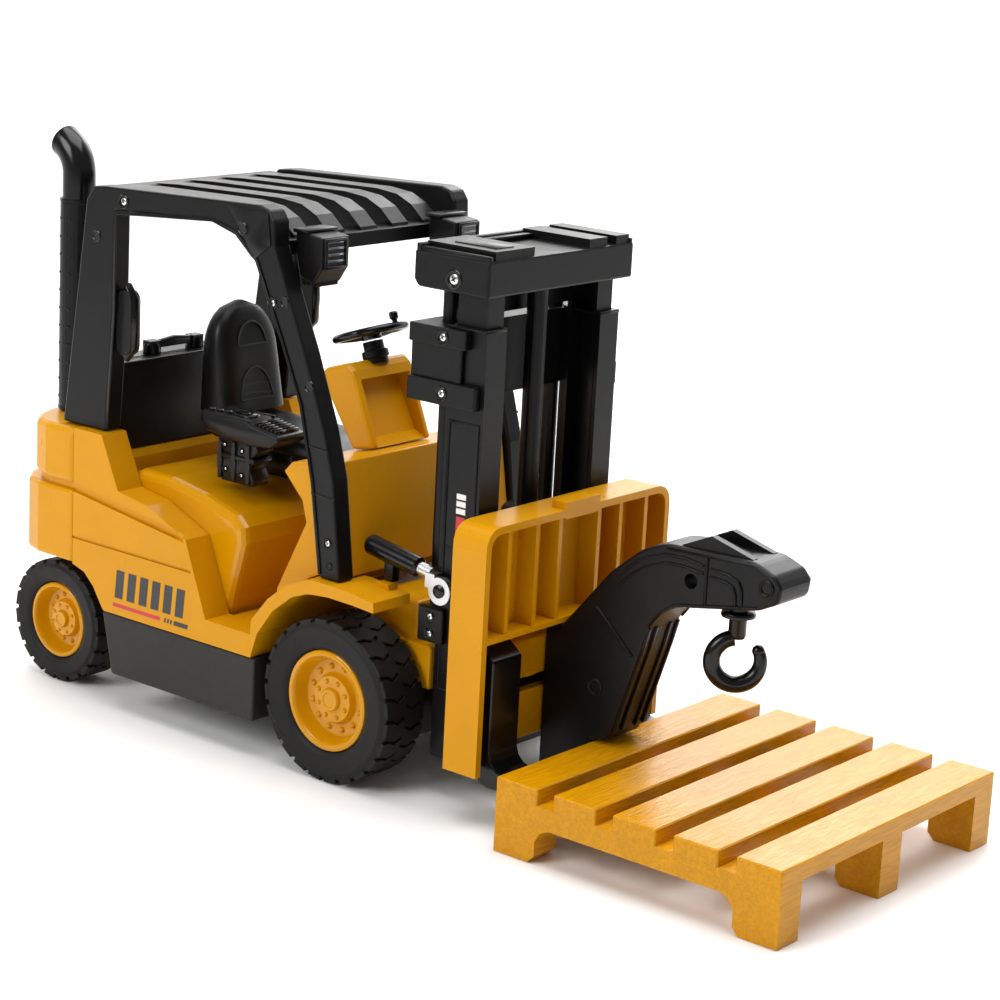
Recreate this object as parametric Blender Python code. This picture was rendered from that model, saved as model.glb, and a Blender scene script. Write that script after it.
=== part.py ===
"""Toy forklift truck with its pallet, built as separate moulded parts.

Truck millimetres are used throughout: x = 0 is the middle of the wheelbase, +X is the
direction of travel, +Y is the truck's left side and z = 0 is the ground.
"""
import math

import bmesh
import bpy
from mathutils import Matrix, Vector

MM = 0.001
ORIGIN = Vector((130.0, 7.5, 0.0))

AXLE_X = 112.7
FRONT_R, FRONT_RIM_R = 45.2, 27.8
FRONT_OUT, FRONT_IN = 83.8, 53.0
REAR_R, REAR_RIM_R = 36.5, 22.4
REAR_OUT, REAR_IN = 74.1, 46.6
KINGPIN_Y = 40.0
BODY_Y = 85.0
WALL_IN_Y = 66.5
MODULE_MM = 0.8
DRIVE_TEETH, PINION_TEETH = 36, 12
MAST_PIVOT = (160.0, 45.0)
TILT_EYE = (171.3, 115.5)
SLIDE_AXIS = Vector((0.9866, 0.0, -0.1630))
EXHAUST_X, EXHAUST_Y = -122.0, -51.0
HOOK_X = 316.5
BACKREST_REAR_X = 192.7
SIDES = (("right", -1), ("left", 1))

MATERIALS = {
    "yellow_plastic": ((0.84, 0.42, 0.02), 0.28, 0.0),
    "pallet_plastic": ((0.80, 0.42, 0.05), 0.30, 0.0),
    "grey_plastic": ((0.055, 0.057, 0.06), 0.60, 0.0),
    "black_plastic": ((0.018, 0.018, 0.020), 0.50, 0.0),
    "tyre_rubber": ((0.022, 0.022, 0.023), 0.80, 0.0),
    "steel": ((0.55, 0.55, 0.57), 0.30, 1.0),
    "brass": ((0.78, 0.57, 0.25), 0.35, 1.0),
    "board_green": ((0.03, 0.22, 0.08), 0.50, 0.0),
}


def clear_scene():
    for obj in list(bpy.data.objects):
        bpy.data.objects.remove(obj, do_unlink=True)


def make_material(name):
    colour, roughness, metallic = MATERIALS[name]
    mat = bpy.data.materials.new(name)
    mat.use_nodes = True
    shader = mat.node_tree.nodes["Principled BSDF"]
    shader.inputs["Base Color"].default_value = (*colour, 1.0)
    shader.inputs["Roughness"].default_value = roughness
    shader.inputs["Metallic"].default_value = metallic
    return mat


def solid(points, faces):
    """A closed mesh object from truck-millimetre points."""
    mesh = bpy.data.meshes.new("blank")
    mesh.from_pydata([(Vector(p) - ORIGIN) * MM for p in points], [], faces)
    build = bmesh.new()
    build.from_mesh(mesh)
    bmesh.ops.recalc_face_normals(build, faces=build.faces)
    build.to_mesh(mesh)
    build.free()
    obj = bpy.data.objects.new("blank", mesh)
    bpy.context.collection.objects.link(obj)
    return obj


def prism(outline, low, high, axis="Y"):
    """Extrude a closed outline: (x, z) along Y, (y, z) along X or (x, y) along Z."""
    place = {
        "Y": lambda a, b, t: (a, t, b),
        "X": lambda a, b, t: (t, a, b),
        "Z": lambda a, b, t: (a, b, t),
    }[axis]
    count = len(outline)
    points = [place(a, b, low) for a, b in outline] + [place(a, b, high) for a, b in outline]
    faces = [tuple(range(count)), tuple(range(count, 2 * count))]
    for i in range(count):
        j = (i + 1) % count
        faces.append((i, j, count + j, count + i))
    return solid(points, faces)


def box(x0, x1, y0, y1, z0, z1):
    return prism([(x0, z0), (x1, z0), (x1, z1), (x0, z1)], y0, y1)


def frame_of(direction):
    return Vector((0, 0, 1)).rotation_difference(Vector(direction)).to_matrix()


def turned(profile, centre, direction, count=32):
    """Revolve (radius, along) pairs about an axis; a profile off the axis makes a ring."""
    turn = frame_of(direction)
    centre = Vector(centre)
    on_axis = profile[0][0] == 0 and profile[-1][0] == 0
    rings, points = [], []
    for radius, along in profile:
        if radius == 0:
            rings.append([len(points)] * count)
            points.append(centre + turn @ Vector((0, 0, along)))
            continue
        rings.append(list(range(len(points), len(points) + count)))
        for k in range(count):
            angle = 2 * math.pi * (k + 0.5) / count
            local = Vector((radius * math.cos(angle), radius * math.sin(angle), along))
            points.append(centre + turn @ local)
    pairs = len(rings) - 1 if on_axis else len(rings)
    faces = []
    for i in range(pairs):
        a, b = rings[i], rings[(i + 1) % len(rings)]
        for k in range(count):
            corners = [a[k], a[(k + 1) % count], b[(k + 1) % count], b[k]]
            face = tuple(dict.fromkeys(corners))
            if len(face) > 2:
                faces.append(face)
    return solid(points, faces)


def rod(start, end, radius, count=20):
    start, end = Vector(start), Vector(end)
    length = (end - start).length
    return turned([(0, 0), (radius, 0), (radius, length), (0, length)], start, end - start, count)


def boolean(base, other, operation):
    step = base.modifiers.new(operation.lower(), "BOOLEAN")
    step.operation = operation
    step.solver = "EXACT"
    step.object = other
    bake(base)
    bpy.data.objects.remove(other, do_unlink=True)
    return base


def bake(obj):
    """Replace an object's mesh with the result of its modifiers."""
    bpy.context.view_layer.update()
    graph = bpy.context.evaluated_depsgraph_get()
    mesh = bpy.data.meshes.new_from_object(obj.evaluated_get(graph))
    obj.modifiers.clear()
    obj.data = mesh
    return obj


def join(base, *others):
    for other in others:
        boolean(base, other, "UNION")
    return base


def cut(base, *others):
    for other in others:
        boolean(base, other, "DIFFERENCE")
    return base


def soften(obj, width, segments=2, angle=40):
    step = obj.modifiers.new("soften", "BEVEL")
    step.width = width * MM
    step.segments = segments
    step.limit_method = "ANGLE"
    step.angle_limit = math.radians(angle)
    return bake(obj)


def finish(obj, name, material):
    obj.name = name
    obj.data.name = name
    obj.data.materials.clear()
    obj.data.materials.append(material)
    return obj


def arc(centre, radius, start, end, steps):
    """Points on a circle between two angles in degrees."""
    points = []
    for k in range(steps + 1):
        angle = math.radians(start + (end - start) * k / steps)
        points.append((centre[0] + radius * math.cos(angle), centre[1] + radius * math.sin(angle)))
    return points


def span(side, inner, outer):
    """Low and high y of a piece lying between two distances from the centre plane."""
    return (inner, outer) if side > 0 else (-outer, -inner)


# ---------------------------------------------------------------- wheels and drive

def tyre(x, z, side, radius, rim_radius, inner, outer):
    bead = rim_radius + 0.35
    wall = radius * 0.905
    profile = [
        (bead, outer - 2.6), (bead + 5.0, outer), (wall, outer - 0.5), (radius - 0.9, outer - 2.8),
        (radius, outer - 5.5), (radius, inner + 5.5), (radius - 0.9, inner + 2.8), (wall, inner + 0.5),
        (bead + 5.0, inner), (bead, inner + 2.6),
    ]
    return turned(profile, (x, 0, z), (0, side, 0), 48)


def rim(x, z, side, radius, inner, outer):
    profile = [
        (radius, outer - 3.4), (radius - 0.8, outer - 1.8), (radius - 2.6, outer - 2.4),
        (radius - 3.4, outer - 11.0), (radius - 6.0, outer - 12.5), (radius * 0.46, outer - 12.0),
        (radius * 0.42, outer - 6.0), (radius * 0.33, outer - 4.0), (3.35, outer - 4.0),
        (3.35, inner + 10.0), (radius - 4.0, inner + 10.0), (radius - 3.0, inner + 2.0),
        (radius, inner + 2.0),
    ]
    return turned(profile, (x, 0, z), (0, side, 0), 36)


def toothed_wheel(centre, teeth, low, high, bore, phase):
    """A spur gear outline with slim teeth, so a meshing pair keeps clearance."""
    pitch = MODULE_MM * teeth / 2
    outline = []
    for k in range(teeth):
        mid = phase + 2 * math.pi * k / teeth
        for radius, share in ((pitch - 1.0, -0.21), (pitch + 0.62, -0.10),
                              (pitch + 0.62, 0.10), (pitch - 1.0, 0.21)):
            angle = mid + share * 2 * math.pi / teeth
            outline.append((centre[0] + radius * math.cos(angle), centre[1] + radius * math.sin(angle)))
    blank = prism(outline, low, high)
    return cut(blank, rod((centre[0], low - 2, centre[1]), (centre[0], high + 2, centre[1]), bore, 16))


def pinion_x():
    return AXLE_X - MODULE_MM * (DRIVE_TEETH + PINION_TEETH) / 2


def filleted(outline, radii, steps=3):
    """Round the corners of an outline, each as far as its two edges allow."""
    points = []
    for i, (corner, radius) in enumerate(zip(outline, radii)):
        here = Vector(corner)
        before = Vector(outline[i - 1]) - here
        after = Vector(outline[(i + 1) % len(outline)]) - here
        if not radius:
            points.append(corner)
            continue
        reach = min(radius / math.tan(before.angle(after) / 2), 0.45 * before.length, 0.45 * after.length)
        start, end = here + before.normalized() * reach, here + after.normalized() * reach
        for k in range(steps + 1):
            t = k / steps
            points.append(tuple(start * (1 - t) ** 2 + here * 2 * t * (1 - t) + end * t ** 2))
    return points


def build_front_drive(mats):
    for name, side in SIDES:
        wheel = tyre(AXLE_X, FRONT_R, side, FRONT_R, FRONT_RIM_R, FRONT_IN, FRONT_OUT)
        finish(wheel, f"front_tyre_{name}", mats["tyre_rubber"])
        hub = rim(AXLE_X, FRONT_R, side, FRONT_RIM_R, FRONT_IN, FRONT_OUT)
        finish(hub, f"front_rim_{name}", mats["yellow_plastic"])
    axle = rod((AXLE_X, -78.6, FRONT_R), (AXLE_X, 78.6, FRONT_R), 3.0)
    finish(axle, "front_axle", mats["steel"])
    gear = toothed_wheel((AXLE_X, FRONT_R), DRIVE_TEETH, 5, 11, 3.35, 0.0)
    finish(gear, "drive_gear", mats["brass"])
    pinion = toothed_wheel((pinion_x(), FRONT_R), PINION_TEETH, 4, 12, 1.4, math.pi / PINION_TEETH)
    finish(pinion, "motor_pinion", mats["brass"])
    can = rod((pinion_x(), -32, FRONT_R), (pinion_x(), 2, FRONT_R), 9.5, 24)
    join(can, rod((pinion_x(), -20, FRONT_R), (pinion_x(), 13, FRONT_R), 1.0, 12))
    finish(can, "drive_motor", mats["steel"])


def build_rear_steer(mats):
    beam = box(-118, -107.4, -35.0, 35.0, 29, 45)
    join(beam, box(-117, -108.4, -9, 9, 44, 55.6))
    for _, side in SIDES:
        low, high = span(side, 30, 43.6)
        join(beam, box(-117.0, -108.4, low, high, 46.4, 50.4), box(-117.0, -108.4, low, high, 22.6, 26.6))
        low, high = span(side, 30, 34.6)
        join(beam, box(-117.0, -108.4, low, high, 23.6, 49.4))
        cut(beam, rod((-AXLE_X, side * KINGPIN_Y, 20), (-AXLE_X, side * KINGPIN_Y, 54), 2.3, 16))
    finish(beam, "steer_beam", mats["grey_plastic"])
    for name, side in SIDES:
        pin_y = side * KINGPIN_Y
        knuckle = rod((-AXLE_X, pin_y, 27.2), (-AXLE_X, pin_y, 45.8), 4.0)
        join(knuckle, rod((-AXLE_X, pin_y, 23.4), (-AXLE_X, pin_y, 49.6), 1.9, 16),
             rod((-AXLE_X, pin_y, REAR_R), (-AXLE_X, side * 69.4, REAR_R), 2.9, 16),
             box(-130.7, -AXLE_X, pin_y - 2.4, pin_y + 2.4, 33.5, 37.0),
             rod((-128.7, pin_y, 35), (-128.7, pin_y, 41.6), 1.4, 12))
        finish(knuckle, f"knuckle_{name}", mats["steel"])
        wheel = tyre(-AXLE_X, REAR_R, side, REAR_R, REAR_RIM_R, REAR_IN, REAR_OUT)
        finish(wheel, f"rear_tyre_{name}", mats["tyre_rubber"])
        hub = rim(-AXLE_X, REAR_R, side, REAR_RIM_R, REAR_IN, REAR_OUT)
        finish(hub, f"rear_rim_{name}", mats["yellow_plastic"])
    bar = box(-132.5, -124.5, -43, 43, 37.5, 40.2)
    for _, side in SIDES:
        cut(bar, box(-131.2, -125.6, side * KINGPIN_Y - 1.8, side * KINGPIN_Y + 1.8, 35, 42))
    finish(bar, "tie_rod", mats["steel"])


# ---------------------------------------------------------------- chassis and bodywork

def build_chassis(mats):
    pan = prism([(-52, 20.9), (61.2, 20.9), (61.2, 56.6), (-60.4, 56.6)], -BODY_Y, BODY_Y)
    soften(pan, 1.2, 2)
    join(pan, box(55, 143, -48, 48, 24, 54.6), box(-66, -51.5, -27, 27, 40, 70))
    join(pan, box(-122, -49.5, -25, 25, 56.0, 78.4))
    cut(pan, box(-47, 50, -70, 70, 26.6, 60), box(66, 139, -44, 44, 28, 60),
        rod((AXLE_X, -60, FRONT_R), (AXLE_X, 60, FRONT_R), 3.6, 24))
    x, z = MAST_PIVOT
    for _, side in SIDES:
        low, high = span(side, 20, 28)
        lug = prism([(141.5, z - 7)] + arc((x, z), 7.0, -90, 90, 12) + [(141.5, z + 7)], low, high)
        join(pan, cut(lug, rod((x, low - 2, z), (x, high + 2, z), 3.4, 24)))
    finish(pan, "chassis_pan", mats["grey_plastic"])

    nose = join(box(76, 157, -50, 50, 55.0, 79), box(112, 143, -45, 45, 76, 100))
    soften(nose, 1.5, 2)
    cut(nose, box(80, 139, -44, 44, 50, 74))
    finish(nose, "nose_block", mats["yellow_plastic"])

    pack = soften(box(-42, 18, -34, 34, 27.2, 58), 2, 2)
    finish(pack, "battery_pack", mats["black_plastic"])
    cover = soften(box(-32, 30, -26, 26, 18.4, 20.5), 0.6, 1)
    finish(cover, "battery_cover", mats["grey_plastic"])
    board = join(box(-46, 10, -28, 28, 64, 65.8), box(-36, -20, -14, 2, 65.4, 70),
                 box(-12, 2, 4, 20, 65.4, 74))
    finish(board, "circuit_board", mats["board_green"])


ARCH = [(58.2, 57.1), (63, 71.9), (74.1, 87.1), (87.7, 97.9), (98.9, 102.3), (113.9, 103.8),
        (132.4, 103.3), (146.5, 102.3)]
FENDER_TOP = [(146.2, 107.8), (120, 110.5), (101, 110.5), (94.9, 108.6), (82.4, 103.0), (70, 92.9),
              (58.0, 78.4)]


def build_body(mats):
    side_outline = [(-86, 79.2), (-76, 76.3), (-68.3, 69.5), (-60.6, 58.4), (-59, 57.0)] + ARCH + FENDER_TOP
    side_outline += [(58.0, 70.1), (23.2, 70.4), (6.1, 112.5), (-24.9, 125.6), (-48.7, 129.2),
                     (-63, 159.3), (-86, 159.3)]
    body = prism(side_outline, -BODY_Y, -WALL_IN_Y)
    join(body, prism(side_outline, WALL_IN_Y, BODY_Y))
    fender = ARCH + FENDER_TOP
    for _, side in SIDES:
        join(body, prism(fender, *span(side, 56.0, WALL_IN_Y + 1)))
        join(body, prism([(128, 106), (139, 106), (137.5, 112.0), (129.5, 112.0)], *span(side, 57.0, 64.0)))
        groove = [(-121, 127.7), (-85, 127.3), (3.5, 115.0), (4.7, 110.5), (-97, 123.4), (-121, 124.6)]
        cut(body, prism(groove, *span(side, BODY_Y - 2.2, BODY_Y + 2)),
            prism([(-87, 94.4), (11.2, 94.4), (10.8, 96.0), (-87, 96.0)],
                  *span(side, BODY_Y - 1.2, BODY_Y + 2)))
    toe_board = [(58.2, 57.1), (63, 71.9), (74.1, 87.1), (84, 95.0), (81, 101.9), (70, 92.9), (58.0, 78.4),
                 (56, 70.1), (26, 70.1), (26, 64.5), (54, 64.5)]
    join(body, prism(toe_board, -WALL_IN_Y - 1, WALL_IN_Y + 1),
         prism([(-86, 128), (-64.5, 128), (-64.5, 142), (-72, 144.8), (-86, 144.8)], -WALL_IN_Y - 1,
               WALL_IN_Y + 1))
    finish(body, "body_shell", mats["yellow_plastic"])

    upper = [(-86.5, 85), (-110, 85), (-122, 81), (-131, 71.5), (-136.5, 58), (-141.5, 38), (-145.5, 18),
             (-147, 0)]
    lower = [(-86.5, 85), (-116, 85), (-129, 80.5), (-138.5, 70.5), (-144, 57), (-148.2, 38), (-151, 18),
             (-152, 0)]
    def ring(half):
        return half + [(x, -y) for x, y in reversed(half[:-1])]
    weight = soften(prism(ring(upper), 126.5, 158.6, "Z"), 3.0, 2)
    join(weight, soften(prism(ring(lower), 79.6, 122.4, "Z"), 2.0, 2),
         prism([(x * 0.975 - 2.2, y * 0.96) for x, y in ring(upper)], 120, 129, "Z"))
    finish(weight, "counterweight", mats["yellow_plastic"])

    hood = prism([(-62, 60.6), (21.6, 60.6), (24.5, 80), (33, 112), (31.5, 121), (25, 127), (0, 134),
                  (-28, 138.4), (-52, 138.4), (-62, 134)], -66.1, 66.1)
    soften(hood, 5.0, 3, 50)
    cut(hood, box(-57, 17.5, -60, 60, 50, 120), box(-70, -40, -28, 28, 50, 81))
    finish(hood, "seat_hood", mats["yellow_plastic"])

    cowl = prism([(61.4, 159.6), (66.9, 165.4), (104, 172.5), (114, 111.4), (100, 111.2), (94.2, 109.4),
                  (82.6, 103.9),
                  (70.2, 93.8), (60.0, 81.6), (58.4, 92.6), (78.8, 133.9), (75.5, 145.6)], -66.1, 66.1)
    soften(cowl, 0.8, 2)
    cut(cowl, prism([(40, 84), (60, 87.4), (70, 98.6), (84, 109.6), (97, 114), (109, 115.2), (100, 167.2),
                     (68, 161), (40, 156)], -62, 62))
    finish(cowl, "front_cowl", mats["yellow_plastic"])

    pod = prism([(47, 203), (49, 209), (66, 214.5), (71, 211), (88, 170.0), (72, 166.9)], -24, 24)
    soften(pod, 2.0, 2)
    cut(pod, prism([(62, 206), (95, 206), (110, 160), (79, 174)], -20, 20))
    finish(pod, "dash_pod", mats["yellow_plastic"])


GUARD = [(-101.9, 159.8), (-84.5, 290), (-79, 297.6), (-70, 298.6), (50, 303.3), (57, 301.5), (61, 296),
         (61.6, 282.6), (86.1, 229.3), (101.7, 191), (109.3, 164.9), (116.2, 110.9), (101.8, 110.9),
         (93.8, 161.9), (83.7, 201.5), (69.3, 232.1), (47.8, 273.9), (33.8, 285), (15.6, 290), (-61.3, 286),
         (-61.5, 230), (-66.4, 159.8)]
SLAT = [(-80, 289), (-80, 296), (-60, 297.5), (20, 300), (36, 298.6), (47, 294), (56, 286.5), (59.5, 279),
        (47.5, 275.5), (44, 283), (36, 289), (24, 293.6), (0, 293.6), (-70, 291)]


def build_guard(mats):
    for name, side in SIDES:
        frame = prism(GUARD, *span(side, 67.0, 79.1))
        soften(frame, 1.2, 2, 30)
        handle = prism(arc((-55.5, 236), 6.0, 0, 180, 8) + arc((-55.5, 211), 6.0, 180, 360, 8),
                       *span(side, 69.5, 76.5))
        finish(join(frame, handle), f"guard_side_{name}", mats["black_plastic"])
        light = prism([(62.5, 291), (82, 288.5), (82, 272), (76, 263), (66, 266), (62.5, 279)],
                      *span(side, 43, 64))
        finish(soften(light, 1.0, 2), f"work_light_{name}", mats["black_plastic"])
    grille = prism([(46.5, 274), (60.4, 277), (59.6, 284.5), (50, 286), (45.5, 281)], -66.6, 66.6)
    join(grille, box(-84.5, -74, -66.6, 66.6, 288, 296))
    for y in (-52, -26, 0, 26, 52):
        join(grille, prism(SLAT, y - 6.5, y + 6.5))
    finish(grille, "roof_grille", mats["black_plastic"])
    bulkhead = soften(join(box(-93, -71.2, -66.2, 66.2, 160.2, 196.5),
                           box(-78, -71.2, -62, 62, 145.4, 170)), 0.8, 2)
    for y in (-29, 5):
        join(bulkhead, box(-86, -79, y - 4, y + 4, 195, 204))
    join(bulkhead, box(-84.5, -80.5, -29, 5, 199.5, 203))
    finish(bulkhead, "rear_bulkhead", mats["black_plastic"])


def build_cab(mats):
    back = prism([(-52, 169), (-20, 169), (-26, 205), (-31, 226), (-37, 231), (-46, 231), (-51, 224),
                  (-54, 195)],
                 -26, 26)
    finish(soften(back, 5.0, 3), "seat_back", mats["black_plastic"])
    cushion = soften(prism([(-36, 152), (46, 152), (54, 157), (48, 165), (-24, 168.4), (-36, 168.4)], -26,
                           26), 3.2, 3)
    join(cushion, box(-30, 22, -19, 19, 139.2, 154))
    finish(cushion, "seat_cushion", mats["black_plastic"])
    console = soften(prism([(-20, 165), (38, 165), (43, 169), (41, 178), (-18, 178)], -52, -28.2), 1.4, 2)
    join(console, box(-7, 25, -50, -35, 139.0, 167))
    finish(console, "control_console", mats["black_plastic"])
    tilt = math.radians(20)
    normal = Vector((-math.sin(tilt), 0, math.cos(tilt)))
    hub = Vector((61, 0, 228))
    column = rod(hub - normal * 12, hub - normal * 4.4, 4.2, 20)
    finish(column, "steering_column", mats["black_plastic"])
    section = [(19.4 + 2.1 * math.cos(a * math.pi / 4), 2.1 * math.sin(a * math.pi / 4)) for a in range(8)]
    wheel = turned(section, hub, normal, 36)
    join(wheel, turned([(0, -4.0), (5.5, -4.0), (6.2, 1.2), (0, 2.4)], hub, normal, 20))
    for k in range(3):
        way = frame_of(normal) @ Matrix.Rotation(math.radians(90 + 120 * k), 3, "Z") @ Vector((1, 0, 0))
        join(wheel, rod(hub + way * 4 - normal * 1.0, hub + way * 19.5 - normal * 0.2, 1.7, 10))
    forward = Vector((math.cos(tilt), 0, math.sin(tilt)))
    join(wheel, rod(hub + forward * 19.4, hub + forward * 19.4 + normal * 8, 2.4, 14))
    finish(wheel, "steering_wheel", mats["black_plastic"])


def tube_faces(rings, count):
    """Side and end faces of a skin through several rings of points."""
    faces = [tuple(range(count)), tuple(range((rings - 1) * count, rings * count))]
    for i in range(rings - 1):
        for k in range(count):
            a, b = i * count + k, i * count + (k + 1) % count
            faces.append((a, b, b + count, a + count))
    return faces


def build_exhaust(mats):
    """An upright stack: a fat sleeve round a pipe whose open end bends to the rear."""
    x, y, foot, knee = EXHAUST_X, EXHAUST_Y, 159.1, 297.0
    bend_radius, pipe_radius, bore_radius, count = 20.0, 9.5, 7.9, 20
    sleeve = turned([(9.9, 159.3), (10.6, 160), (10.6, 281), (9.9, 282)], (x, y, 0), (0, 0, 1), 28)
    finish(sleeve, "muffler", mats["black_plastic"])
    upright = Vector((0, 0, 1))
    stations = [(Vector((x, y, foot)), upright), (Vector((x, y, knee)), upright)]
    for k in range(1, 6):
        turn = math.radians(13 * k)
        centre = Vector((x - bend_radius * (1 - math.cos(turn)), y, knee + bend_radius * math.sin(turn)))
        stations.append((centre, Vector((-math.sin(turn), 0, math.cos(turn)))))
    last, heading = stations[-1]
    tip = last + heading * 6.0
    stations.append((tip, heading))
    across, points = Vector((0, 1, 0)), []
    for centre, way in stations:
        other = way.cross(across)
        for k in range(count):
            angle = 2 * math.pi * k / count
            points.append(centre + (across * math.cos(angle) + other * math.sin(angle)) * pipe_radius)
    pipe = solid(points, tube_faces(len(stations), count))
    cut(pipe, rod(tip - heading * 22, tip + heading * 8, bore_radius, 20))
    finish(pipe, "exhaust_pipe", mats["black_plastic"])


# ---------------------------------------------------------------- mast and load parts

def build_mast(mats):
    for name, side in SIDES:
        low, high = span(side, 39.1, 55.0)
        rail = box(164, 189.3, low, high, 22, 254.9)
        cut(rail, box(166.4, 186.9, *span(side, 30, 52.4), 10, 270))
        join(rail, soften(box(154, 171, *span(side, 54.6, 58.2), 85, 104), 0.6, 1),
             rod((TILT_EYE[0], side * 54, TILT_EYE[1]), (TILT_EYE[0], side * 62.6, TILT_EYE[1]), 2.5, 16))
        finish(rail, f"outer_rail_{name}", mats["black_plastic"])
        bar = rod((155, side * 43.5, 84), (155, side * 43.5, 271.9), 4.25, 20)
        finish(bar, f"lift_rod_{name}", mats["black_plastic"])

    head = soften(box(141, 175, -57.6, 57.6, 214, 252.5), 0.8, 2)
    join(head, soften(box(140.9, 186.5, -60, 60, 213, 225.5), 0.8, 2),
         soften(box(140.9, 179, -60, 60, 243.5, 253.5), 0.8, 2))
    cut(head, box(163.6, 200, -55.4, 55.4, 200, 260))
    for _, side in SIDES:
        cut(head, rod((155, side * 43.5, 200), (155, side * 43.5, 260), 4.9, 20))
    finish(head, "mast_crosshead", mats["black_plastic"])

    foot = box(167, 186, -38.4, 38.4, 22.6, 33)
    x, z = MAST_PIVOT
    for _, side in SIDES:
        low, high = span(side, 29.5, 36.5)
        join(foot, prism([(155, 40), (158, 51), (164, 51), (170, 32), (170, 24), (166, 24)], low, high))
    join(foot, rod((x, -35.5, z), (x, 35.5, z), 3.0, 20))
    finish(foot, "mast_foot", mats["black_plastic"])

    inner = box(164.4, 168.2, -51.9, 51.9, 120, 132)
    cut(inner, box(160, 166.7, -80, -38.8, 110, 140), box(160, 166.7, 38.8, 80, 110, 140))
    join(inner, box(166.9, 168.4, -45, 45, 258, 270))
    for _, side in SIDES:
        join(inner, box(166.8, 186.5, *span(side, 39.0, 51.9), 24, 271.9))
        cut(inner, box(169.5, 184.0, *span(side, 30, 49.0), 20, 280))
    finish(inner, "inner_mast", mats["black_plastic"])

    plate = soften(prism([(146, 272.3), (192.8, 272.3), (192.8, 291.1), (142.9, 291.1), (142.9, 276)],
                         -60.2, 60.2), 1.2, 2)
    for low, high in ((-54, -23), (23, 38), (46, 57)):
        join(plate, box(146, 191.5, low, high, 289, 295.6))
    finish(plate, "top_plate", mats["black_plastic"])

    barrel = turned([(5.95, 33.4), (8.0, 33.4), (8.0, 149), (5.95, 150)], (177, 0, 0), (0, 0, 1), 24)
    finish(barrel, "lift_cylinder", mats["steel"])
    ram = rod((177, 0, 36), (177, 0, 271.9), 5.5, 24)
    finish(ram, "lift_ram", mats["black_plastic"])

    along = SLIDE_AXIS.normalized()
    for name, side in SIDES:
        y = side * 57.0
        start = Vector((117.2, y, 129.4))
        barrel = turned([(0, 0), (4.4, 0), (5.5, 1.5), (5.5, 35.5), (4.2, 36.7), (0, 36.7)], start, along,
                        24)
        cut(barrel, rod(start + along * 12, start + along * 45, 3.85, 20))
        join(barrel, box(130.5, 136.5, y - 2.6, y + 2.6, 112.5, 125))
        cut(barrel, rod(start + along * 12, start + along * 45, 3.85, 20))
        finish(barrel, f"tilt_barrel_{name}", mats["black_plastic"])
        eye = Vector((TILT_EYE[0], y, TILT_EYE[1]))
        low, high = span(side, 58.6, 62.4)
        piston = rod(start + along * 22, start + along * 45.3, 3.5, 20)
        lug = join(rod((eye.x, low, eye.z), (eye.x, high, eye.z), 7.4, 24),
                   box(eye.x - 10, eye.x - 3.7, *span(side, 55.9, 62.2), eye.z + 0.5, eye.z + 8.2))
        cut(lug, rod((eye.x, low - 9, eye.z), (eye.x, high + 9, eye.z), 3.3, 20))
        finish(join(piston, lug), f"tilt_rod_{name}", mats["steel"])


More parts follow.
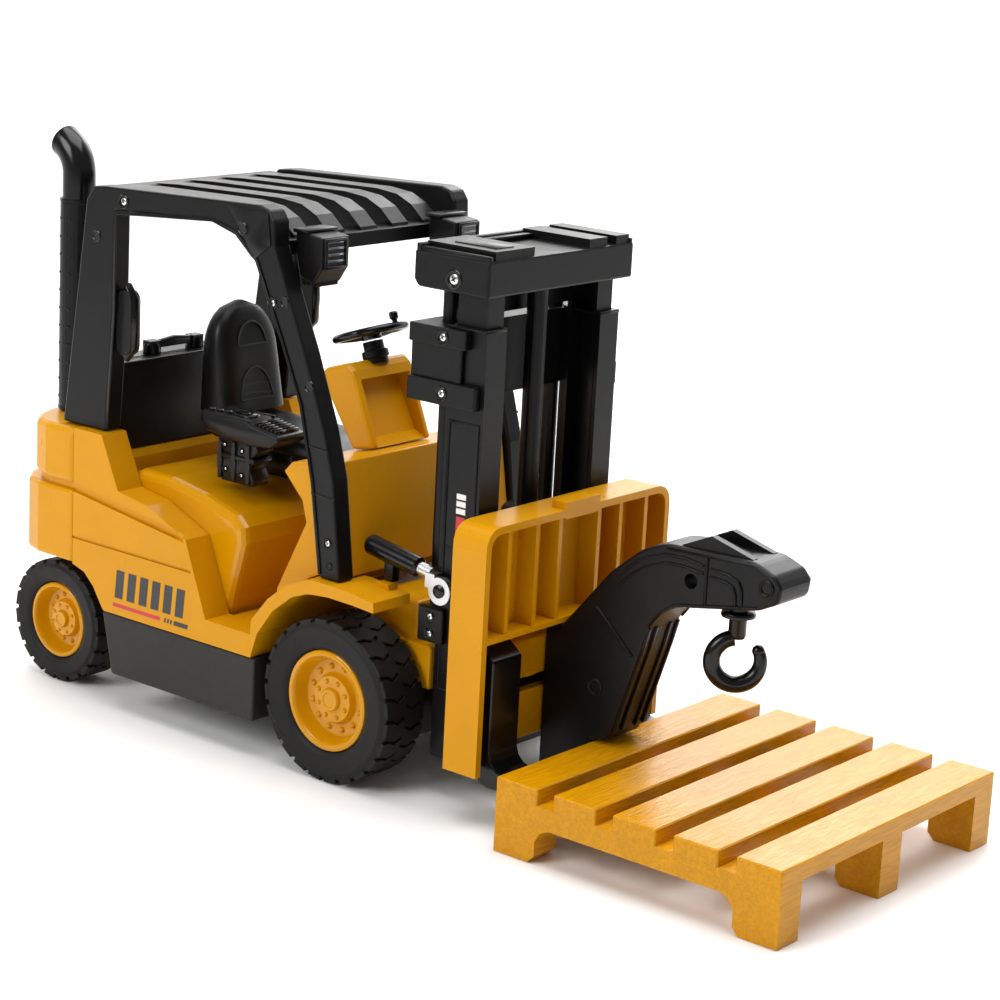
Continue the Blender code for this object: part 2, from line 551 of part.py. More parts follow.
def build_carriage(mats):
    carriage = box(190.2, 198.3, -73.5, 73.5, 36, 98.0)
    join(carriage, box(197, 204.7, -73.5, 73.5, 36, 61.6), box(197, 204.7, -73.5, 73.5, 69.4, 90.5))
    soften(carriage, 0.8, 1)
    for _, side in SIDES:
        join(carriage, box(171, 192, *span(side, 31, 38.2), 42, 84))
    finish(carriage, "carriage", mats["yellow_plastic"])

    wide, top, low, back, front = 78.2, 160.1, 94.5, BACKREST_REAR_X, 214.8
    wall = wide - 4.0
    outer = filleted([(-wide, low), (wide, low), (wide, top), (-wide, top)], (0, 0, 12.5, 12.5), 6)
    inner = filleted([(-wall, 98.9), (wall, 98.9), (wall, top - 4.0), (-wall, top - 4.0)], (0, 0, 8.5, 8.5), 6)
    hollow = filleted([(-wall, 20), (wall, 20), (wall, top - 4.0), (-wall, top - 4.0)], (0, 0, 8.5, 8.5), 6)
    tray = prism(outer, back, front, "X")
    cut(tray, prism(inner, 201.8, 220, "X"), prism(hollow, back - 9, 198.7, "X"),
        box(back - 9, 220, -wall, wall, 90, 98.6))
    for _, side in SIDES:
        join(tray, box(back, front, *span(side, wall, wide), 27.9, 110))
    join(tray, box(205.4, front, -14.4, 14.4, 155, 164), box(198.7, front, -76, 76, 98.6, 101.4))
    for y in (-58, -35.5, -16.5, 16.5, 35.5, 58):
        join(tray, box(200, 213.6, y - 1.5, y + 1.5, 99, 158))
    finish(tray, "load_backrest", mats["yellow_plastic"])

    for name, side in SIDES:
        shank = [(214.4, 39), (214.4, 88), (205.1, 95), (205.1, 27), (208.5, 21)]
        blade = [(214, 19.8), (318, 25.2), (324, 27.3), (318, 29), (225, 29), (219.6, 30.3), (215.8, 34)]
        fork = prism(shank + blade, *span(side, 44.0, 67.6))
        finish(soften(fork, 0.7, 1), f"fork_{name}", mats["black_plastic"])

    base = [(205.2, 18), (230, 18), (236.5, 28), (238.6, 41), (250, 43), (253.6, 51.4)]
    belly = [(267.5, 95.6), (271, 108.9), (278.2, 118.2), (286.7, 123.4), (336, 132.8)]
    nose = [(348.2, 138.8), (349.5, 147.3), (344.9, 152.7)]
    back = [(332.8, 157.4), (277.4, 155.7), (263.3, 149), (245, 133.6), (215.6, 98.2), (205.2, 98.2)]
    radii = (0,) * len(base) + (20,) * len(belly) + (6,) * len(nose) + (20, 30, 30, 30, 0, 0)
    jib = prism(filleted(base + belly + nose + back, radii), -14, 14)
    soften(jib, 1.6, 2, 25)
    fin = [(280, 153), (304.3, 164.3), (330, 157.5), (330, 150)]
    for _, side in SIDES:
        join(jib, prism(fin, *span(side, 7, 11)))
    cut(jib, rod((295.7, -20, 139.5), (295.7, 20, 139.5), 4.0, 24),
        rod((HOOK_X, 0, 120), (HOOK_X, 0, 143), 4.9, 24))
    finish(jib, "crane_jib", mats["black_plastic"])

    hook = turned([(0, 112), (4.2, 112), (4.6, 123), (8.8, 123.4), (8.8, 125.4), (4.4, 125.9),
                   (4.4, 141.5), (0, 141.5)],
                  (HOOK_X, 0, 0), (0, 0, 1), 24)
    centre, across = Vector((317.0, 0, 99.7)), Vector((0.778, 0.628, 0))
    points, steps, count = [], 20, 10
    for i in range(steps + 1):
        angle = math.radians(90 + 12 + 285 * i / steps)
        out = across * math.cos(angle) + Vector((0, 0, 1)) * math.sin(angle)
        side = Vector((0, 0, 1)).cross(across)
        for k in range(count):
            turn = 2 * math.pi * k / count
            points.append(centre + out * (12.4 + 4.1 * math.cos(turn)) + side * 4.1 * math.sin(turn))
    ring = solid(points, tube_faces(steps + 1, count))
    finish(join(hook, ring), "crane_hook", mats["black_plastic"])


def build_pallet(mats):
    x0, x1, y0, y1, top = 239.5, 411.9, -91.6, 106.6, 39.7
    width, gap = 26.2, 10.35
    pallet = None
    for k in range(5):
        start = x0 + k * (width + gap)
        slat = soften(box(start, start + width, y0, y1, 30.0, top), 0.7, 1)
        pallet = slat if pallet is None else join(pallet, slat)
    for low in (y0 + 0.25, 7.5 - 9, y1 - 18.25):
        side = [(x0 + 0.2, 0.0), (x0 + 22, 0.0), (x0 + 26, 4), (x0 + 26, 12), (x0 + 29, 17),
                (x0 + 34, 19.5),
                (x1 - 34, 19.5), (x1 - 29, 17), (x1 - 26, 12), (x1 - 26, 4), (x1 - 22, 0.0), (x1 - 0.2,
                                                                                              0.0),
                (x1 - 0.2, 31), (x0 + 0.2, 31)]
        join(pallet, prism(side, low, low + 18))
    finish(pallet, "pallet", mats["pallet_plastic"])


def main():
    clear_scene()
    mats = {name: make_material(name) for name in MATERIALS}
    build_front_drive(mats)
    build_rear_steer(mats)
    build_chassis(mats)
    build_body(mats)
    build_guard(mats)
    build_cab(mats)
    build_exhaust(mats)
    build_mast(mats)
    build_carriage(mats)
    build_pallet(mats)


main()
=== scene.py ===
"""Looks of the toy forklift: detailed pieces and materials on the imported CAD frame.

Sizes are in truck millimetres, as in the part's source: x = 0 is the middle of the wheelbase,
+X points to the forks, +Y to the truck's left side and z = 0 is the ground.
"""
import math

import bmesh
import bpy
from mathutils import Matrix, Vector


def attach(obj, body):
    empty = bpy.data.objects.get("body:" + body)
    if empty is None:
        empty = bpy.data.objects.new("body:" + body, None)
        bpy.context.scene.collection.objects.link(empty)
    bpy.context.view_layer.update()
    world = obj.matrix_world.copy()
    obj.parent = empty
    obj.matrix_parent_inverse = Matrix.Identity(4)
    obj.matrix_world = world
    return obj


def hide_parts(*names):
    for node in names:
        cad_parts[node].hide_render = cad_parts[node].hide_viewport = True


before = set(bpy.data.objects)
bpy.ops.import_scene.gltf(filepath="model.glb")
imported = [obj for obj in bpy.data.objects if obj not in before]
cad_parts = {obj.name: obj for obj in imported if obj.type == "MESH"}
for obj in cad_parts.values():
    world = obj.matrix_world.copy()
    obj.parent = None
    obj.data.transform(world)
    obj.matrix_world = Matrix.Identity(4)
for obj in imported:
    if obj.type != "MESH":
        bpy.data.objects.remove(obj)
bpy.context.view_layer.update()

MM = 0.001
ORIGIN = Vector((130.0, 7.5, 0.0))
SIDES = (("right", -1), ("left", 1))
UP = Vector((0, 0, 1))
ALONG_X = Vector((1, 0, 0))

# How far out from the middle plane the outer faces of the CAD solids lie.
BODY_SIDE_Y = 84.9
GUARD_SIDE_Y = 79.0
RAIL_SIDE_Y = 54.9
JIB_SIDE_Y = 13.6

SEAT_BACK_FOOT_Z, SEAT_BACK_HEIGHT = 169.0, 62.0
HAND_WHEEL_CENTRE, COLUMN_TILT = Vector((61, 0, 228)), math.radians(20)
EXHAUST_X, EXHAUST_Y = -122.0, -51.0
EXHAUST_RADIUS, EXHAUST_BEND_RADIUS, EXHAUST_BEND_Z = 9.4, 19.5, 297.0
HOOK_X, HOOK_RING_RADIUS = 316.5, 12.4
PAPER_WHITE, WARM_WHITE = (0.93, 0.925, 0.92), (1.0, 0.995, 0.985, 1)

OUTLINE_TO_POINT = {
    "Y": lambda a, b, t: (a, t, b),
    "X": lambda a, b, t: (t, a, b),
    "Z": lambda a, b, t: (a, b, t),
}

# name, x, side, tyre radius, rim radius, inner y, outer y, body, lugs on each half of the tread
WHEELS = (
    ("front_right", 112.7, -1, 45.2, 27.8, 53.0, 83.8, "drive_axle", 24),
    ("front_left", 112.7, 1, 45.2, 27.8, 53.0, 83.8, "drive_axle", 24),
    ("rear_right", -112.7, -1, 36.5, 22.4, 46.6, 74.1, "rear_wheel_right", 20),
    ("rear_left", -112.7, 1, 36.5, 22.4, 46.6, 74.1, "rear_wheel_left", 20),
)


# ---------------------------------------------------------------- mesh helpers

def solid(points, faces, smooth_angle=35):
    """A mesh object from truck-millimetre points."""
    mesh = bpy.data.meshes.new("piece")
    mesh.from_pydata([(Vector(p) - ORIGIN) * MM for p in points], [], faces)
    build = bmesh.new()
    build.from_mesh(mesh)
    bmesh.ops.recalc_face_normals(build, faces=build.faces)
    build.to_mesh(mesh)
    build.free()
    smooth(mesh, smooth_angle)
    obj = bpy.data.objects.new("piece", mesh)
    bpy.context.collection.objects.link(obj)
    return obj


def smooth(mesh, angle=35):
    mesh.polygons.foreach_set("use_smooth", [True] * len(mesh.polygons))
    mesh.set_sharp_from_angle(angle=math.radians(angle))


def prism(outline, low, high, axis="Y"):
    """Extrude a closed outline: (x, z) along Y, (y, z) along X or (x, y) along Z."""
    put = OUTLINE_TO_POINT[axis]
    count = len(outline)
    points = [put(a, b, low) for a, b in outline] + [put(a, b, high) for a, b in outline]
    faces = [tuple(range(count)), tuple(range(count, 2 * count))]
    for i in range(count):
        j = (i + 1) % count
        faces.append((i, j, count + j, count + i))
    return solid(points, faces)


def box(x0, x1, y0, y1, z0, z1):
    return prism([(x0, z0), (x1, z0), (x1, z1), (x0, z1)], y0, y1)


def frame_of(direction):
    return UP.rotation_difference(Vector(direction)).to_matrix()


def turned(profile, centre, direction, count=48, smooth_angle=35):
    """Revolve (radius, along) pairs about an axis; a profile off the axis makes a ring."""
    turn = frame_of(direction)
    centre = Vector(centre)
    on_axis = profile[0][0] == 0 and profile[-1][0] == 0
    rings, points = [], []
    for radius, along in profile:
        if radius == 0:
            rings.append([len(points)] * count)
            points.append(centre + turn @ Vector((0, 0, along)))
            continue
        rings.append(list(range(len(points), len(points) + count)))
        for k in range(count):
            angle = 2 * math.pi * (k + 0.5) / count
            local = Vector((radius * math.cos(angle), radius * math.sin(angle), along))
            points.append(centre + turn @ local)
    pairs = len(rings) - 1 if on_axis else len(rings)
    faces = []
    for i in range(pairs):
        a, b = rings[i], rings[(i + 1) % len(rings)]
        for k in range(count):
            face = tuple(dict.fromkeys([a[k], a[(k + 1) % count], b[(k + 1) % count], b[k]]))
            if len(face) > 2:
                faces.append(face)
    return solid(points, faces, smooth_angle)


def rod(start, end, radius, count=24):
    start, end = Vector(start), Vector(end)
    length = (end - start).length
    edge = min(0.3, radius * 0.3)
    profile = [(0, 0), (radius - edge, 0), (radius, edge), (radius, length - edge),
               (radius - edge, length), (0, length)]
    return turned(profile, start, end - start, count)


def swept(path, radii, count=16, side=Vector((0, 1, 0))):
    """A round bar along a list of points, with a radius at each point."""
    path = [Vector(p) for p in path]
    points, faces = [], []
    for i, centre in enumerate(path):
        heading = (path[min(i + 1, len(path) - 1)] - path[max(i - 1, 0)]).normalized()
        across = (side - heading * side.dot(heading)).normalized()
        other = heading.cross(across)
        for k in range(count):
            angle = 2 * math.pi * k / count
            points.append(centre + (across * math.cos(angle) + other * math.sin(angle)) * radii[i])
    for i in range(len(path) - 1):
        for k in range(count):
            a, b = i * count + k, i * count + (k + 1) % count
            faces.append((a, b, b + count, a + count))
    faces += [tuple(range(count)), tuple(range(len(points) - count, len(points)))]
    return solid(points, faces)


def ribbon(path, width, low, high, axis="Y"):
    """A raised band of even width along an open outline, lying between two depths."""
    path = [Vector(p) for p in path]
    near, far = [], []
    for i, point in enumerate(path):
        before = (point - path[i - 1]).normalized() if i else (path[1] - point).normalized()
        after = (path[i + 1] - point).normalized() if i + 1 < len(path) else before
        normal = Vector((-(before + after).y, (before + after).x)).normalized()
        reach = width / 2 / max(0.4, normal.dot(Vector((-before.y, before.x))))
        near.append(tuple(point + normal * reach))
        far.append(tuple(point - normal * reach))
    put = OUTLINE_TO_POINT[axis]
    points, faces, count = [], [], len(path)
    for a, b in zip(near, far):
        points += [put(*a, low), put(*b, low), put(*b, high), put(*a, high)]
    for i in range(count - 1):
        for k in range(4):
            faces.append((4 * i + k, 4 * i + (k + 1) % 4, 4 * i + 4 + (k + 1) % 4, 4 * i + 4 + k))
    faces += [(0, 1, 2, 3), (4 * count - 4, 4 * count - 3, 4 * count - 2, 4 * count - 1)]
    return solid(points, faces)


def loft(sections, smooth_angle=50):
    """A closed skin through rings of points with equal counts."""
    points = [p for ring in sections for p in ring]
    count = len(sections[0])
    faces = [tuple(range(count)), tuple(range(len(points) - count, len(points)))]
    for i in range(len(sections) - 1):
        for k in range(count):
            a, b = i * count + k, i * count + (k + 1) % count
            faces.append((a, b, b + count, a + count))
    return solid(points, faces, smooth_angle)


def span(side, inner, outer):
    return (inner, outer) if side > 0 else (-outer, -inner)


def bevel(obj, width=0.5, segments=2, angle=35):
    step = obj.modifiers.new("edges", "BEVEL")
    step.width = width * MM
    step.segments = segments
    step.limit_method = "ANGLE"
    step.angle_limit = math.radians(angle)
    step.harden_normals = True
    return obj


def merged(objects):
    """One object holding the meshes of several, each keeping its own bevel."""
    graph = bpy.context.evaluated_depsgraph_get()
    bpy.context.view_layer.update()
    build = bmesh.new()
    for obj in objects:
        graph.update()
        mesh = bpy.data.meshes.new_from_object(obj.evaluated_get(graph))
        build.from_mesh(mesh)
        bpy.data.meshes.remove(mesh)
        bpy.data.objects.remove(obj, do_unlink=True)
    mesh = bpy.data.meshes.new("piece")
    build.to_mesh(mesh)
    build.free()
    smooth(mesh)
    result = bpy.data.objects.new("piece", mesh)
    bpy.context.collection.objects.link(result)
    return result


def place(obj, name, material, body, replaces=()):
    """Name a piece, give it its material and let it ride on its body."""
    obj.name = name
    obj.data.materials.clear()
    obj.data.materials.append(material)
    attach(obj, body)
    if replaces:
        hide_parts(*replaces)
    return obj


# ---------------------------------------------------------------- materials

def moulded(name, colour, roughness, mottle=0.06, grain=0.0, grain_scale=1800.0, coat=0.0,
            stretch=(1, 1, 1), metallic=0.0, shine=0.5):
    """A moulded surface: faint colour drift, uneven gloss and a fine grain, all from noise."""
    mat = bpy.data.materials.new(name)
    mat.use_nodes = True
    nodes, links = mat.node_tree.nodes, mat.node_tree.links
    shader = nodes["Principled BSDF"]
    shader.inputs["Metallic"].default_value = metallic
    shader.inputs["Coat Weight"].default_value = coat
    shader.inputs["Coat Roughness"].default_value = 0.08
    shader.inputs["Specular IOR Level"].default_value = shine
    where = nodes.new("ShaderNodeTexCoord")
    scaled = nodes.new("ShaderNodeMapping")
    scaled.inputs["Scale"].default_value = stretch
    links.new(where.outputs["Object"], scaled.inputs["Vector"])

    drift = nodes.new("ShaderNodeTexNoise")
    drift.inputs["Scale"].default_value = 38.0
    drift.inputs["Detail"].default_value = 6.0
    links.new(scaled.outputs["Vector"], drift.inputs["Vector"])
    ramp = nodes.new("ShaderNodeValToRGB")
    ramp.color_ramp.elements[0].position = 0.30
    ramp.color_ramp.elements[1].position = 0.72
    ramp.color_ramp.elements[0].color = (*[c * (1 - mottle) for c in colour], 1)
    ramp.color_ramp.elements[1].color = (*[min(1, c * (1 + mottle)) for c in colour], 1)
    links.new(drift.outputs["Fac"], ramp.inputs["Fac"])
    links.new(ramp.outputs["Color"], shader.inputs["Base Color"])

    scuff = nodes.new("ShaderNodeTexNoise")
    scuff.inputs["Scale"].default_value = 160.0
    scuff.inputs["Detail"].default_value = 8.0
    links.new(scaled.outputs["Vector"], scuff.inputs["Vector"])
    gloss = nodes.new("ShaderNodeMapRange")
    gloss.inputs["To Min"].default_value = max(0.03, roughness - 0.07)
    gloss.inputs["To Max"].default_value = roughness + 0.07
    links.new(scuff.outputs["Fac"], gloss.inputs["Value"])
    links.new(gloss.outputs["Result"], shader.inputs["Roughness"])

    if grain:
        fine = nodes.new("ShaderNodeTexNoise")
        fine.inputs["Scale"].default_value = grain_scale
        fine.inputs["Detail"].default_value = 3.0
        links.new(scaled.outputs["Vector"], fine.inputs["Vector"])
        bump = nodes.new("ShaderNodeBump")
        bump.inputs["Strength"].default_value = grain
        bump.inputs["Distance"].default_value = 0.0002
        links.new(fine.outputs["Fac"], bump.inputs["Height"])
        links.new(bump.outputs["Normal"], shader.inputs["Normal"])
    return mat


def wood_grained(name, colour):
    """Glossy yellow plastic with moulded wood grain that runs along Y."""
    mat = moulded(name, colour, 0.24, 0.05, shine=0.22)
    nodes, links = mat.node_tree.nodes, mat.node_tree.links
    shader = nodes["Principled BSDF"]
    where = nodes.new("ShaderNodeTexCoord")
    scaled = nodes.new("ShaderNodeMapping")
    scaled.inputs["Scale"].default_value = (1.0, 0.09, 1.0)
    links.new(where.outputs["Object"], scaled.inputs["Vector"])
    rings = nodes.new("ShaderNodeTexNoise")
    rings.inputs["Scale"].default_value = 620.0
    rings.inputs["Detail"].default_value = 5.0
    rings.inputs["Distortion"].default_value = 0.9
    links.new(scaled.outputs["Vector"], rings.inputs["Vector"])
    ridge = nodes.new("ShaderNodeValToRGB")
    ridge.color_ramp.elements[0].position = 0.40
    ridge.color_ramp.elements[1].position = 0.56
    links.new(rings.outputs["Fac"], ridge.inputs["Fac"])
    bump = nodes.new("ShaderNodeBump")
    bump.inputs["Strength"].default_value = 0.42
    bump.inputs["Distance"].default_value = 0.0003
    links.new(ridge.outputs["Color"], bump.inputs["Height"])
    links.new(bump.outputs["Normal"], shader.inputs["Normal"])
    base = shader.inputs["Base Color"].links[0].from_socket
    shade = nodes.new("ShaderNodeMix")
    shade.data_type = "RGBA"
    shade.blend_type = "MULTIPLY"
    shade.inputs["Factor"].default_value = 0.16
    links.new(base, shade.inputs["A"])
    links.new(ridge.outputs["Color"], shade.inputs["B"])
    links.new(shade.outputs["Result"], shader.inputs["Base Color"])
    return mat


def make_materials():
    yellow = (0.60, 0.265, 0.001)
    black = (0.0035, 0.003, 0.003)
    return {
        "yellow": moulded("yellow_satin", yellow, 0.30, 0.035, grain=0.10, grain_scale=900,
                          shine=0.18),
        "yellow_gloss": moulded("yellow_gloss", yellow, 0.14, 0.03, grain=0.05, grain_scale=260,
                                coat=0.1, shine=0.3),
        "pallet": wood_grained("pallet_yellow", (0.62, 0.27, 0.001)),
        "grey": moulded("sill_grey", (0.014, 0.013, 0.012), 0.58, 0.15, grain=0.55,
                        grain_scale=1500, shine=0.4),
        "black": moulded("black_grained", black, 0.34, 0.25, grain=0.55, grain_scale=1400,
                         shine=0.22),
        "black_gloss": moulded("black_gloss", (0.003, 0.003, 0.003), 0.20, 0.10, grain=0.10,
                               grain_scale=500, shine=0.35),
        "seat": moulded("seat_black", (0.0035, 0.003, 0.003), 0.36, 0.15, grain=0.30,
                        grain_scale=1100, shine=0.3),
        "rubber": moulded("tyre_rubber", (0.0045, 0.004, 0.0038), 0.60, 0.20, grain=0.50,
                          grain_scale=1200, shine=0.3),
        "steel": moulded("bright_steel", (0.60, 0.60, 0.60), 0.28, 0.08, grain=0.15,
                         grain_scale=700, metallic=1.0, stretch=(1, 1, 0.2)),
        "screw": moulded("screw_zinc", (0.78, 0.77, 0.74), 0.22, 0.10, grain=0.12, grain_scale=900,
                         metallic=1.0),
        "brass": moulded("gear_brass", (0.72, 0.50, 0.18), 0.34, 0.10, grain=0.15, grain_scale=900,
                         metallic=1.0),
        "board": moulded("board_green", (0.02, 0.16, 0.05), 0.45, 0.15, grain=0.15,
                         grain_scale=700),
        "lens": moulded("clear_lens", (0.045, 0.047, 0.05), 0.10, 0.04, coat=0.3),
        "lens_bar": moulded("lens_bar", (0.20, 0.21, 0.22), 0.18, 0.10, grain=0.1, grain_scale=900,
                            metallic=0.6),
        "white": moulded("label_white", (0.80, 0.80, 0.78), 0.40, 0.04, grain=0.08,
                         grain_scale=900),
        "red": moulded("label_red", (0.52, 0.02, 0.03), 0.42, 0.06, grain=0.08, grain_scale=900),
        "ink": moulded("label_black", (0.022, 0.022, 0.024), 0.45, 0.10, grain=0.08,
                       grain_scale=900),
        # The matte near-black below is painted shade in the screw cross slots, the empty holes and
        # the exhaust mouth, where it stands in for the shaded inside of each recess; the seat seams
        # use it as plain black.
        "dark": moulded("painted_shade_and_seam_black", (0.004, 0.004, 0.004), 0.60, 0.20, grain=0.2,
                        grain_scale=900),
    }


MATERIALS = make_materials()

CAD_LOOKS = {
    "yellow": ("body_shell", "counterweight", "front_cowl", "nose_block", "carriage",
               "load_backrest", "dash_pod"),
    "yellow_gloss": ("seat_hood",),
    "pallet": ("pallet",),
    "grey": ("chassis_pan", "battery_cover", "steer_beam"),
    "black": ("guard_side_right", "guard_side_left", "roof_grille", "rear_bulkhead",
              "work_light_right", "work_light_left", "control_console", "exhaust_pipe", "muffler",
              "steering_column", "outer_rail_right", "outer_rail_left", "mast_crosshead",
              "mast_foot", "inner_mast", "top_plate", "battery_pack", "lift_rod_right",
              "lift_rod_left", "lift_ram", "crane_jib"),
    "black_gloss": ("fork_right", "fork_left", "tilt_barrel_right", "tilt_barrel_left"),
    "steel": ("front_axle", "knuckle_right", "knuckle_left", "tie_rod", "drive_motor",
              "lift_cylinder", "tilt_rod_right", "tilt_rod_left"),
    "brass": ("drive_gear", "motor_pinion"),
    "board": ("circuit_board",),
}
SOFT_EDGES = {"seat_hood": 1.2, "counterweight": 0.9, "pallet": 0.5, "front_cowl": 0.5,
              "load_backrest": 0.7, "body_shell": 0.6, "crane_jib": 0.8}
ROUND_SHADED = {"seat_hood": 70, "counterweight": 60, "roof_grille": 55, "dash_pod": 60,
                "crane_jib": 50, "load_backrest": 50, "front_cowl": 45, "body_shell": 45}
SHARP_NODES = ("drive_gear", "motor_pinion", "crane_hook", "steering_wheel")


def dress_cad_nodes():
    """Carried-over CAD nodes get a material, smooth shading and a live bevel."""
    for look, names in CAD_LOOKS.items():
        for name in names:
            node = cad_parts[name]
            node.data.materials.clear()
            node.data.materials.append(MATERIALS[look])
            smooth(node.data, ROUND_SHADED.get(name, 35))
            if name not in SHARP_NODES:
                bevel(node, SOFT_EDGES.get(name, 0.4))


# ---------------------------------------------------------------- wheels

def tread_lug(x, z, side, outline, floor, top):
    """One tread block: an (angle, y) outline raised from the carcass to the running surface."""
    points = []
    for radius in (floor, top):
        for angle, y in outline:
            a = math.radians(angle)
            points.append((x + radius * math.sin(a), side * y, z + radius * math.cos(a)))
    count = len(outline)
    faces = [tuple(range(count)), tuple(range(count, 2 * count))]
    for i in range(count):
        j = (i + 1) % count
        faces.append((i, j, count + j, count + i))
    return points, faces


def build_tyre(name, x, side, radius, rim_radius, inner, outer, body, lugs):
    bead, wall = rim_radius + 0.3, radius * 0.905
    floor = radius - 1.7
    profile = [
        (bead, outer - 3.0), (bead + 1.2, outer - 1.2), (bead + 4.0, outer - 0.2),
        (wall - 1.6, outer - 0.3), (wall - 0.7, outer + 0.0), (wall, outer - 0.7),
        (floor - 0.9, outer - 1.1), (floor, outer - 2.0), (floor, inner + 2.0),
        (floor - 0.9, inner + 1.1), (wall, inner + 0.7), (wall - 0.7, inner),
        (bead + 4.0, inner + 0.3), (bead, inner + 3.0),
    ]
    carcass = turned(profile, (x, 0, radius), (0, side, 0), 96)
    middle, pitch = (inner + outer) / 2, 360.0 / lugs
    points, faces = [], []
    for k in range(lugs):
        for hand in (1, -1):
            shift = (k + (0.5 if hand < 0 else 0.0)) * pitch
            edge = outer - 1.0 if hand > 0 else inner + 1.0
            shoulder, crook = edge - hand * 4.5, middle + hand * 6.0
            near = [(0.05, middle - hand * 0.6), (0.34, crook), (0.14, shoulder), (0.16, edge)]
            far = [(0.92, edge), (0.98, shoulder), (1.18, crook), (0.89, middle - hand * 0.6)]
            outline = [(shift + pitch * along, y) for along, y in near + far]
            new_points, new_faces = tread_lug(x, radius, side, outline, floor - 1.2, radius)
            faces += [tuple(i + len(points) for i in face) for face in new_faces]
            points += new_points
    lugs_obj = bevel(solid(points, faces), 0.35, 1, 40)
    place(merged([carcass, lugs_obj]), f"{name}_tyre_tread", MATERIALS["rubber"], body,
          (tyre_node(name),))


def tyre_node(name):
    axle, side = name.split("_")
    return f"{axle}_tyre_{side}"


def build_rim(name, x, side, radius, z, inner, outer, body):
    r = radius
    profile = [
        (r, inner + 2.0), (r, outer - 3.0), (r - 0.25, outer - 2.0), (r - 0.9, outer - 1.5),
        (r * 0.90, outer - 1.4), (r * 0.875, outer - 2.0), (r * 0.855, outer - 3.6),
        (r * 0.83, outer - 6.0), (r * 0.80, outer - 8.6), (r * 0.765, outer - 10.2),
        (r * 0.73, outer - 10.6), (r * 0.52, outer - 10.4), (r * 0.495, outer - 9.8),
        (r * 0.475, outer - 7.6), (r * 0.45, outer - 6.6), (r * 0.30, outer - 6.2),
        (r * 0.235, outer - 6.0), (r * 0.225, outer - 4.4), (r * 0.20, outer - 3.6),
        (r * 0.15, outer - 3.6), (r * 0.135, outer - 4.1), (0, outer - 4.1),
    ]
    back = [(0, inner + 10.0), (r - 4.0, inner + 10.0), (r - 3.2, inner + 2.0)]
    profile = back + profile
    parts = [turned(profile, (x, 0, z), (0, side, 0), 72, 50)]
    for count, ring, size, depth in ((12, 0.63, 0.062, 10.4), (8, 0.365, 0.05, 6.3)):
        for k in range(count):
            a = 2 * math.pi * (k + 0.5) / count
            centre = (x + ring * r * math.cos(a), side * (outer - depth - 0.3),
                      z + ring * r * math.sin(a))
            s = size * r
            dome = [(0, s * 1.25), (s * 0.45, s * 1.15), (s * 0.8, s * 0.8), (s, s * 0.25),
                    (s, -0.3), (0, -0.3)]
            parts.append(turned(dome, centre, (0, side, 0), 14, 60))
    axle, hand = name.split("_")
    place(merged(parts), f"{name}_wheel_centre", MATERIALS["yellow_gloss"], body,
          (f"{axle}_rim_{hand}",))


def build_wheels():
    for name, x, side, radius, rim_radius, inner, outer, body, lugs in WHEELS:
        build_tyre(name, x, side, radius, rim_radius, inner, outer, body, lugs)
        build_rim(name, x, side, rim_radius, radius, inner, outer, body)


# ---------------------------------------------------------------- screws, holes and labels

def screw(name, centre, direction, radius, body):
    """A sunk cross-head screw: a dark counterbore ring, a bright domed head and its cross, drawn as
    dark bars in painted shade that stand in for the shaded slot.
    """
    direction = Vector(direction).normalized()
    centre = Vector(centre)
    ring = turned([(radius, -0.4), (radius * 1.55, -0.4), (radius * 1.55, 0.25),
                   (radius * 1.35, 0.6), (radius * 1.1, 0.5), (radius, 0.2)], centre, direction, 28)
    place(ring, f"{name}_seat", MATERIALS["black_gloss"], body)
    s = radius * 0.86
    head = turned([(0, 0.34), (s * 0.5, 0.30), (s * 0.85, 0.16), (s, -0.1), (s, -0.5), (0, -0.5)],
                  centre, direction, 24, 60)
    place(head, f"{name}_head", MATERIALS["screw"], body)
    turn = frame_of(direction)
    # The cross is painted shade: dark bars laid on the bright head in place of the shaded slot.
    bars = []
    for angle in (35, 125):
        way = turn @ Matrix.Rotation(math.radians(angle), 3, "Z") @ ALONG_X
        bars.append(rod(centre + way * s * 0.55 + direction * 0.2,
                        centre - way * s * 0.55 + direction * 0.2, s * 0.17, 8))
    place(merged(bars), f"{name}_cross", MATERIALS["dark"], body)


def dimple(name, centre, direction, radius, body):
    """An empty screw hole: a raised lip round a dark disc, painted shade that stands in for the
    shaded inside of the hole.
    """
    lip = turned([(radius * 0.82, -0.4), (radius * 1.15, -0.4), (radius * 1.15, 0.2),
                  (radius * 0.98, 0.55), (radius * 0.82, 0.3)], centre, direction, 28)
    place(lip, f"{name}_lip", MATERIALS["black_gloss"], body)
    # The disc is painted shade: a flat dark sheet where the hole's shaded inside would be.
    disc = turned([(0, 0.06), (radius * 0.80, 0.08), (radius * 0.86, -0.4), (0, -0.4)], centre,
                  direction, 24)
    place(disc, f"{name}_hole", MATERIALS["dark"], body)


def slanted(x, z, width, height, lean):
    return [(x, z), (x + width, z), (x + width + lean, z + height), (x + lean, z + height)]


